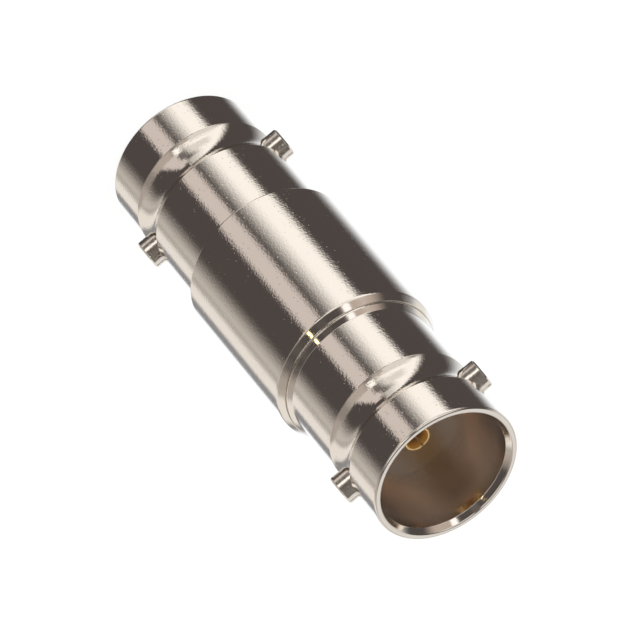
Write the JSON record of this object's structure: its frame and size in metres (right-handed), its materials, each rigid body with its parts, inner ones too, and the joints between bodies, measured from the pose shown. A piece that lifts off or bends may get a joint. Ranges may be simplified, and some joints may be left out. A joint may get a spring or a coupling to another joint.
{
  "type": "in-line bayonet coaxial adapter",
  "caption": "Straight in-line coaxial adapter with a bayonet jack at each end and a slotted socket contact, joins two coaxial cable plugs.",
  "frame": {"origin": "centre of the lower jack's rim, on the axis", "axes": "+Z along the axis from the lower jack's rim to the upper jack's rim, bayonet studs along +X and -X, saw cuts of the centre contact open to +Y and -Y"},
  "size_m": [0.011, 0.0108, 0.0329],
  "materials": {
    "nickel_plate": "bright nickel plate, mirror-like with fine turning marks",
    "stud_nickel": "bright nickel plate, slightly softer than the turned faces",
    "insulator": "smooth satin white",
    "bare_brass": "turned, unplated",
    "gold_plate": "bright gold plate"
  },
  "bodies": {
    "root": {"main_body": "nickel_plate", "upper_jack_shell": "nickel_plate", "stud_lower_left": "stud_nickel", "stud_lower_right": "stud_nickel", "stud_upper_left": "stud_nickel", "stud_upper_right": "stud_nickel", "bead_lower": "insulator", "bead_upper": "insulator", "spacer_sleeve": "bare_brass", "centre_contact": "gold_plate"}
  },
  "joints": []
}
